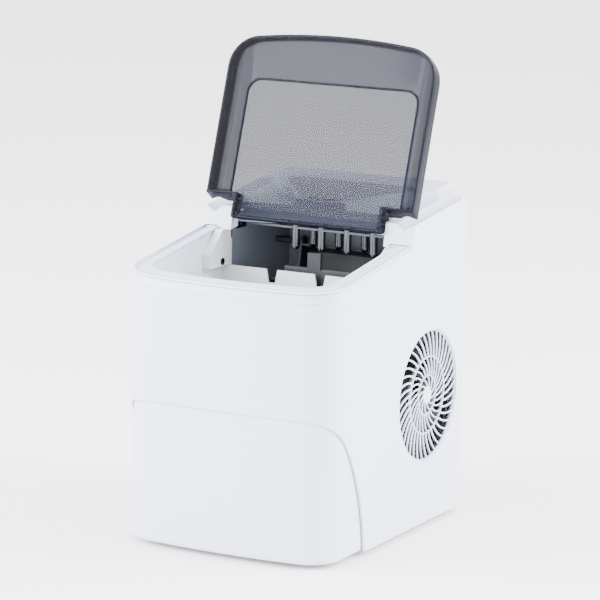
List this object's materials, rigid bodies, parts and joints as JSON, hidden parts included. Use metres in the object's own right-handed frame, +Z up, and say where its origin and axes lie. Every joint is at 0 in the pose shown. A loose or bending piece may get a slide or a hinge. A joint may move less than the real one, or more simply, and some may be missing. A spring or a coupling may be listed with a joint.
{
  "type": "ice maker",
  "caption": "Countertop ice maker with a hinged smoked lid, sloped bin rim, raised control console, side fan grille, lift-out ice basket and tilting water tray.",
  "frame": {"origin": "under the middle of the body, on the plane of the feet", "axes": "+Z up, -Y out of the bulged front, +X towards the side with the round grille"},
  "size_m": [0.224, 0.3, 0.468],
  "materials": {
    "shell_white": "fine satin moulded ABS",
    "collar_white": "fine satin moulded ABS",
    "pan_grey": "moulded plastic",
    "foot_rubber": "matt rubber",
    "liner_white": "smooth moulded liner",
    "foam": "beaded foam",
    "chamber_grey": "smooth moulded plastic",
    "smoked_clear": "clear smoked acrylic",
    "film_grey": "satin printed film",
    "lamp_clear": "frosted clear",
    "button_silver": "satin silver",
    "circuit_green": "solder mask",
    "grille_white": "fine satin moulded ABS",
    "dark_plastic": "moulded plastic",
    "motor_steel": "zinc plated steel",
    "fin_aluminium": "rolled fin stock",
    "copper": "drawn copper, slightly dull",
    "compressor_black": "black enamel",
    "mount_rubber": "matt rubber",
    "finger_steel": "polished nickel plate",
    "pin_steel": "ground steel",
    "tray_grey": "smooth moulded plastic",
    "basket_white": "smooth moulded plastic",
    "sensor_black": "dark clear infrared window",
    "hose_clear": "milky silicone",
    "gear_white": "moulded acetal"
  },
  "bodies": {
    "housing": {"outer_shell": "shell_white", "lower_front_panel": "shell_white", "rear_panel": "shell_white", "base_pan": "pan_grey", "feet": "foot_rubber", "bin_collar": "collar_white", "bin_tub": "liner_white", "foam_jacket": "foam", "evaporator_housing": "chamber_grey", "top_cover": "collar_white", "hinge_pins": "pin_steel", "control_film": "film_grey", "indicator_lenses": "lamp_clear", "control_board": "circuit_green", "side_grille": "grille_white", "fan_shroud": "dark_plastic", "fan_motor": "motor_steel", "condenser_fins": "fin_aluminium", "condenser_tube": "copper", "compressor": "compressor_black", "compressor_mounts": "mount_rubber", "relay_cover": "dark_plastic", "filter_drier": "copper", "capillary_coil": "copper", "hot_gas_valve": "motor_steel", "discharge_line": "copper", "suction_line": "copper", "evaporator_manifold": "finger_steel", "freezing_fingers": "finger_steel", "tray_gear_motor": "motor_steel", "ice_sensor_box": "liner_white", "ice_sensor_lens": "sensor_black", "pump_body": "dark_plastic", "pump_hose": "hose_clear", "drain_spout": "pan_grey", "power_board": "circuit_green", "power_inlet": "dark_plastic", "rear_screws": "pin_steel"},
    "lid": {"lid": "smoked_clear"},
    "on_off": {"on_off_button": "button_silver"},
    "select": {"select_button": "button_silver"},
    "fan": {"fan_rotor": "dark_plastic"},
    "pump_rotor": {"pump_impeller": "gear_white"},
    "tray": {"water_tray": "tray_grey", "tray_crank": "gear_white"},
    "shovel": {"ice_shovel": "chamber_grey"},
    "basket": {"ice_basket": "basket_white"},
    "drain_plug": {"drain_cap": "foot_rubber"}
  },
  "joints": [
    {"name": "lid_hinge", "type": "hinge", "parent": "housing", "child": "lid", "pos_m": [0, 0.026, 0.2975], "axis": [1, 0, 0], "range_deg": [0, 116]},
    {"name": "basket_lift", "type": "slide", "parent": "housing", "child": "basket", "axis": [0, 0, -1], "range_m": [-0.2, 0]},
    {"name": "tray_tilt", "type": "hinge", "parent": "housing", "child": "tray", "pos_m": [0, 0.088, 0.262], "axis": [1, 0, 0], "range_deg": [-80, 0]},
    {"name": "shovel_swing", "type": "hinge", "parent": "housing", "child": "shovel", "pos_m": [0, 0.034, 0.232], "axis": [1, 0, 0], "range_deg": [0, 20]},
    {"name": "on_off_press", "type": "slide", "parent": "housing", "child": "on_off", "axis": [0, 0.1431, -0.9897], "range_m": [0, 0.0012], "stiffness_N_per_m": 400},
    {"name": "select_press", "type": "slide", "parent": "housing", "child": "select", "axis": [0, 0.1431, -0.9897], "range_m": [0, 0.0012], "stiffness_N_per_m": 400},
    {"name": "fan_spin", "type": "hinge", "parent": "housing", "child": "fan", "pos_m": [0, 0.076, 0.122], "axis": [1, 0, 0], "continuous": true},
    {"name": "pump_spin", "type": "hinge", "parent": "housing", "child": "pump_rotor", "pos_m": [0.031, 0.038, 0], "axis": [0, 0, 1], "continuous": true},
    {"name": "drain_cap_pull", "type": "slide", "parent": "housing", "child": "drain_plug", "axis": [0, 1, 0], "range_m": [0, 0.03]}
  ],
  "couplings": [
    {"joint": "shovel_swing", "follows": "tray_tilt", "ratio": -0.25}
  ]
}
